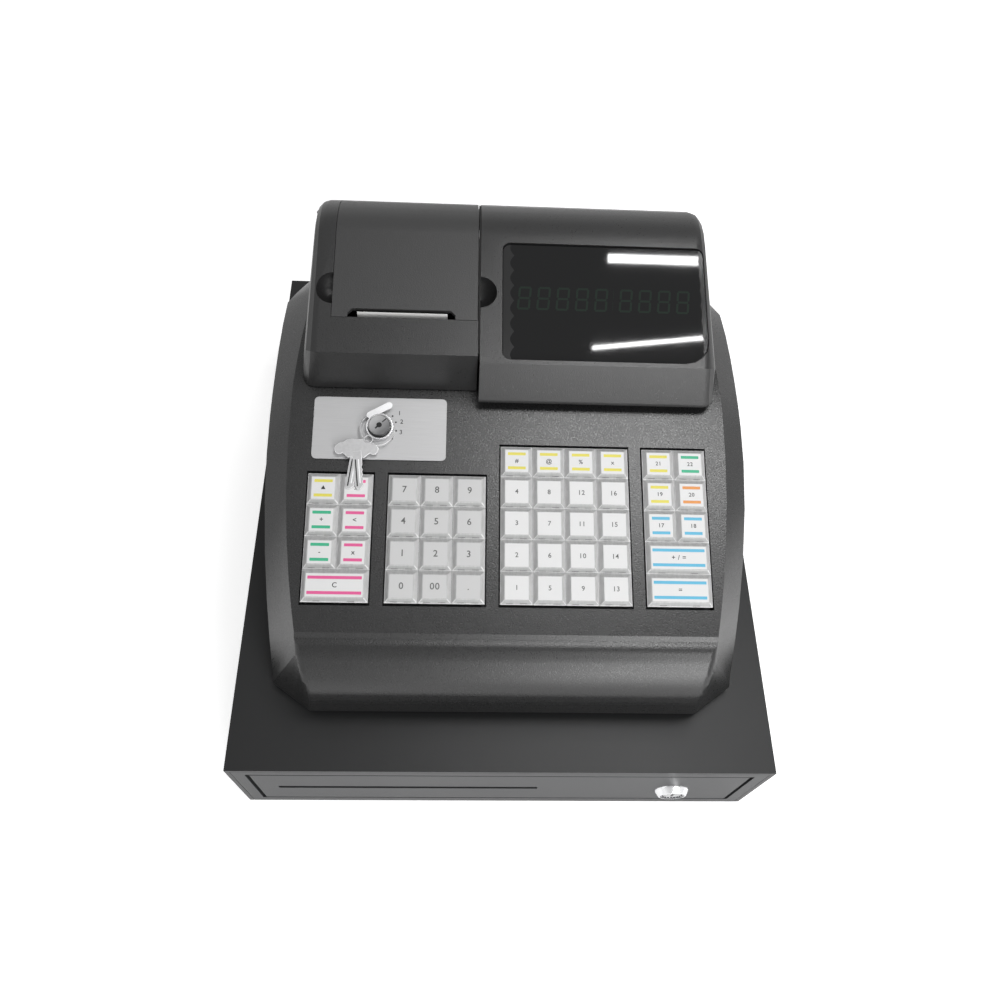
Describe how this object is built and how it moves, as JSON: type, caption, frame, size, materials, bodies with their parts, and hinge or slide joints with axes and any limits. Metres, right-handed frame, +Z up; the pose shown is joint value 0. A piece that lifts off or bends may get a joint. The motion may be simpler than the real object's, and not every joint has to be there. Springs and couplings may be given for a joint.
{
  "type": "electronic cash register",
  "caption": "Electronic cash register on a steel cash drawer, with a sloping keyboard, a receipt printer under a lifting cover, and a display under a rounded hood.",
  "frame": {"origin": "centre of the bounding box, at the undersides of the feet", "axes": "+Z up, -Y towards the person using it, +X to that person's right"},
  "size_m": [0.35, 0.41, 0.2479],
  "materials": {
    "case_plastic": "matte",
    "hood_plastic": "matte",
    "tray_plastic": "satin",
    "inner_plastic": "satin",
    "cabinet_paint": "satin",
    "front_paint": "satin",
    "bare_steel": "satin",
    "lock_metal": "satin",
    "bright_chrome": "polished",
    "brushed_plate": "brushed",
    "black_rubber": "matte",
    "window_gloss": "gloss",
    "board_green": "gloss",
    "key_grey": "gloss",
    "key_clear": "gloss",
    "paper_white": "matte"
  },
  "bodies": {
    "register": {"cabinet_cover": "cabinet_paint", "cabinet_frame": "front_paint", "foot_front_left": "black_rubber", "foot_front_right": "black_rubber", "foot_rear_left": "black_rubber", "foot_rear_right": "black_rubber", "case_bottom": "case_plastic", "case_top": "case_plastic", "main_board": "board_green", "key_guide_plate": "inner_plastic", "name_plate": "brushed_plate", "printer_housing": "hood_plastic", "display_housing": "hood_plastic", "display_window": "window_gloss", "display_board": "board_green", "printer_mechanism": "inner_plastic", "receipt_paper": "paper_white"},
    "drawer": {"drawer_pan": "cabinet_paint", "drawer_front": "front_paint", "cash_tray": "tray_plastic", "drawer_lock_bezel": "bright_chrome"},
    "bill_clip_1": {"bill_clip_1": "inner_plastic"},
    "bill_clip_2": {"bill_clip_2": "inner_plastic"},
    "bill_clip_3": {"bill_clip_3": "inner_plastic"},
    "bill_clip_4": {"bill_clip_4": "inner_plastic"},
    "drawer_lock_core": {"drawer_lock_core": "lock_metal"},
    "drawer_latch": {"drawer_latch": "bare_steel"},
    "printer_cover": {"printer_cover": "hood_plastic"},
    "paper_roll": {"paper_roll": "paper_white"},
    "mode_lock": {"mode_lock": "lock_metal"},
    "mode_keys": {"mode_keys": "bright_chrome"},
    "key_0": {"key_0": "key_grey"},
    "key_00": {"key_00": "key_grey"},
    "key_point": {"key_point": "key_grey"},
    "key_1": {"key_1": "key_grey"},
    "key_2": {"key_2": "key_grey"},
    "key_3": {"key_3": "key_grey"},
    "key_4": {"key_4": "key_grey"},
    "key_5": {"key_5": "key_grey"},
    "key_6": {"key_6": "key_grey"},
    "key_7": {"key_7": "key_grey"},
    "key_8": {"key_8": "key_grey"},
    "key_9": {"key_9": "key_grey"},
    "key_paid_out": {"key_paid_out": "key_clear"},
    "key_void": {"key_void": "key_clear"},
    "key_received": {"key_received": "key_clear"},
    "key_return": {"key_return": "key_clear"},
    "key_paper_feed": {"key_paper_feed": "key_clear"},
    "key_second": {"key_second": "key_clear"},
    "key_clear": {"key_clear": "key_clear"},
    "department_keys_row_1": {"department_keys_row_1": "key_clear"},
    "department_keys_row_2": {"department_keys_row_2": "key_clear"},
    "department_keys_row_3": {"department_keys_row_3": "key_clear"},
    "department_keys_row_4": {"department_keys_row_4": "key_clear"},
    "department_keys_row_5": {"department_keys_row_5": "key_clear"},
    "function_keys_row_1": {"function_keys_row_1": "key_clear"},
    "function_keys_row_2": {"function_keys_row_2": "key_clear"},
    "function_keys_row_3": {"function_keys_row_3": "key_clear"},
    "key_cash": {"key_cash": "key_clear"},
    "key_subtotal": {"key_subtotal": "key_clear"}
  },
  "joints": [
    {"name": "drawer_slide", "type": "slide", "parent": "register", "child": "drawer", "axis": [0, -1, 0], "range_m": [0, 0.28]},
    {"name": "bill_clip_1_hinge", "type": "hinge", "parent": "drawer", "child": "bill_clip_1", "pos_m": [-0.11625, 0.1718, 0.0693], "axis": [-1, 0, 0], "range_deg": [0, 25], "stiffness_Nm_per_rad": 0.05, "springref_deg": -20.05},
    {"name": "bill_clip_2_hinge", "type": "hinge", "parent": "drawer", "child": "bill_clip_2", "pos_m": [-0.03875, 0.1718, 0.0693], "axis": [-1, 0, 0], "range_deg": [0, 25], "stiffness_Nm_per_rad": 0.05, "springref_deg": -20.05},
    {"name": "bill_clip_3_hinge", "type": "hinge", "parent": "drawer", "child": "bill_clip_3", "pos_m": [0.03875, 0.1718, 0.0693], "axis": [-1, 0, 0], "range_deg": [0, 25], "stiffness_Nm_per_rad": 0.05, "springref_deg": -20.05},
    {"name": "bill_clip_4_hinge", "type": "hinge", "parent": "drawer", "child": "bill_clip_4", "pos_m": [0.11625, 0.1718, 0.0693], "axis": [-1, 0, 0], "range_deg": [0, 25], "stiffness_Nm_per_rad": 0.05, "springref_deg": -20.05},
    {"name": "drawer_lock_turn", "type": "hinge", "parent": "drawer", "child": "drawer_lock_core", "pos_m": [0.117, -0.205, 0.048], "axis": [0, -1, 0], "range_deg": [0, 90]},
    {"name": "drawer_latch_hinge", "type": "hinge", "parent": "register", "child": "drawer_latch", "pos_m": [0, 0.1935, 0.0125], "axis": [-1, 0, 0], "range_deg": [0, 14]},
    {"name": "printer_cover_hinge", "type": "hinge", "parent": "register", "child": "printer_cover", "pos_m": [-0.068, 0.158, 0.20625], "axis": [-1, 0, 0], "range_deg": [0, 85]},
    {"name": "paper_roll_turn", "type": "hinge", "parent": "register", "child": "paper_roll", "pos_m": [-0.0695, 0.11, 0.201], "axis": [1, 0, 0], "continuous": true},
    {"name": "mode_lock_turn", "type": "hinge", "parent": "register", "child": "mode_lock", "pos_m": [-0.0831, -0.00463, 0.18851], "axis": [0, -0.2292, 0.9734], "range_deg": [-120, 60]},
    {"name": "mode_keys_swing", "type": "hinge", "parent": "register", "child": "mode_keys", "pos_m": [-0.0831, -0.00463, 0.18851], "axis": [0, -0.2292, 0.9734], "range_deg": [-20, 30]},
    {"name": "key_0_press", "type": "slide", "parent": "register", "child": "key_0", "axis": [0, 0.2292, -0.9734], "range_m": [0, 0.003], "stiffness_N_per_m": 200, "springref_m": -0.001},
    {"name": "key_00_press", "type": "slide", "parent": "register", "child": "key_00", "axis": [0, 0.2292, -0.9734], "range_m": [0, 0.003], "stiffness_N_per_m": 200, "springref_m": -0.001},
    {"name": "key_point_press", "type": "slide", "parent": "register", "child": "key_point", "axis": [0, 0.2292, -0.9734], "range_m": [0, 0.003], "stiffness_N_per_m": 200, "springref_m": -0.001},
    {"name": "key_1_press", "type": "slide", "parent": "register", "child": "key_1", "axis": [0, 0.2292, -0.9734], "range_m": [0, 0.003], "stiffness_N_per_m": 200, "springref_m": -0.001},
    {"name": "key_2_press", "type": "slide", "parent": "register", "child": "key_2", "axis": [0, 0.2292, -0.9734], "range_m": [0, 0.003], "stiffness_N_per_m": 200, "springref_m": -0.001},
    {"name": "key_3_press", "type": "slide", "parent": "register", "child": "key_3", "axis": [0, 0.2292, -0.9734], "range_m": [0, 0.003], "stiffness_N_per_m": 200, "springref_m": -0.001},
    {"name": "key_4_press", "type": "slide", "parent": "register", "child": "key_4", "axis": [0, 0.2292, -0.9734], "range_m": [0, 0.003], "stiffness_N_per_m": 200, "springref_m": -0.001},
    {"name": "key_5_press", "type": "slide", "parent": "register", "child": "key_5", "axis": [0, 0.2292, -0.9734], "range_m": [0, 0.003], "stiffness_N_per_m": 200, "springref_m": -0.001},
    {"name": "key_6_press", "type": "slide", "parent": "register", "child": "key_6", "axis": [0, 0.2292, -0.9734], "range_m": [0, 0.003], "stiffness_N_per_m": 200, "springref_m": -0.001},
    {"name": "key_7_press", "type": "slide", "parent": "register", "child": "key_7", "axis": [0, 0.2292, -0.9734], "range_m": [0, 0.003], "stiffness_N_per_m": 200, "springref_m": -0.001},
    {"name": "key_8_press", "type": "slide", "parent": "register", "child": "key_8", "axis": [0, 0.2292, -0.9734], "range_m": [0, 0.003], "stiffness_N_per_m": 200, "springref_m": -0.001},
    {"name": "key_9_press", "type": "slide", "parent": "register", "child": "key_9", "axis": [0, 0.2292, -0.9734], "range_m": [0, 0.003], "stiffness_N_per_m": 200, "springref_m": -0.001},
    {"name": "key_clear_press", "type": "slide", "parent": "register", "child": "key_clear", "axis": [0, 0.2292, -0.9734], "range_m": [0, 0.003], "stiffness_N_per_m": 200, "springref_m": -0.001},
    {"name": "key_paid_out_press", "type": "slide", "parent": "register", "child": "key_paid_out", "axis": [0, 0.2292, -0.9734], "range_m": [0, 0.003], "stiffness_N_per_m": 200, "springref_m": -0.001},
    {"name": "key_void_press", "type": "slide", "parent": "register", "child": "key_void", "axis": [0, 0.2292, -0.9734], "range_m": [0, 0.003], "stiffness_N_per_m": 200, "springref_m": -0.001},
    {"name": "key_received_press", "type": "slide", "parent": "register", "child": "key_received", "axis": [0, 0.2292, -0.9734], "range_m": [0, 0.003], "stiffness_N_per_m": 200, "springref_m": -0.001},
    {"name": "key_return_press", "type": "slide", "parent": "register", "child": "key_return", "axis": [0, 0.2292, -0.9734], "range_m": [0, 0.003], "stiffness_N_per_m": 200, "springref_m": -0.001},
    {"name": "key_paper_feed_press", "type": "slide", "parent": "register", "child": "key_paper_feed", "axis": [0, 0.2292, -0.9734], "range_m": [0, 0.003], "stiffness_N_per_m": 200, "springref_m": -0.001},
    {"name": "key_second_press", "type": "slide", "parent": "register", "child": "key_second", "axis": [0, 0.2292, -0.9734], "range_m": [0, 0.003], "stiffness_N_per_m": 200, "springref_m": -0.001},
    {"name": "department_keys_row_1_press", "type": "slide", "parent": "register", "child": "department_keys_row_1", "axis": [0, 0.2292, -0.9734], "range_m": [0, 0.003], "stiffness_N_per_m": 200, "springref_m": -0.001},
    {"name": "department_keys_row_2_press", "type": "slide", "parent": "register", "child": "department_keys_row_2", "axis": [0, 0.2292, -0.9734], "range_m": [0, 0.003], "stiffness_N_per_m": 200, "springref_m": -0.001},
    {"name": "department_keys_row_3_press", "type": "slide", "parent": "register", "child": "department_keys_row_3", "axis": [0, 0.2292, -0.9734], "range_m": [0, 0.003], "stiffness_N_per_m": 200, "springref_m": -0.001},
    {"name": "department_keys_row_4_press", "type": "slide", "parent": "register", "child": "department_keys_row_4", "axis": [0, 0.2292, -0.9734], "range_m": [0, 0.003], "stiffness_N_per_m": 200, "springref_m": -0.001},
    {"name": "department_keys_row_5_press", "type": "slide", "parent": "register", "child": "department_keys_row_5", "axis": [0, 0.2292, -0.9734], "range_m": [0, 0.003], "stiffness_N_per_m": 200, "springref_m": -0.001},
    {"name": "function_keys_row_1_press", "type": "slide", "parent": "register", "child": "function_keys_row_1", "axis": [0, 0.2292, -0.9734], "range_m": [0, 0.003], "stiffness_N_per_m": 200, "springref_m": -0.001},
    {"name": "function_keys_row_2_press", "type": "slide", "parent": "register", "child": "function_keys_row_2", "axis": [0, 0.2292, -0.9734], "range_m": [0, 0.003], "stiffness_N_per_m": 200, "springref_m": -0.001},
    {"name": "function_keys_row_3_press", "type": "slide", "parent": "register", "child": "function_keys_row_3", "axis": [0, 0.2292, -0.9734], "range_m": [0, 0.003], "stiffness_N_per_m": 200, "springref_m": -0.001},
    {"name": "key_cash_press", "type": "slide", "parent": "register", "child": "key_cash", "axis": [0, 0.2292, -0.9734], "range_m": [0, 0.003], "stiffness_N_per_m": 200, "springref_m": -0.001},
    {"name": "key_subtotal_press", "type": "slide", "parent": "register", "child": "key_subtotal", "axis": [0, 0.2292, -0.9734], "range_m": [0, 0.003], "stiffness_N_per_m": 200, "springref_m": -0.001}
  ]
}
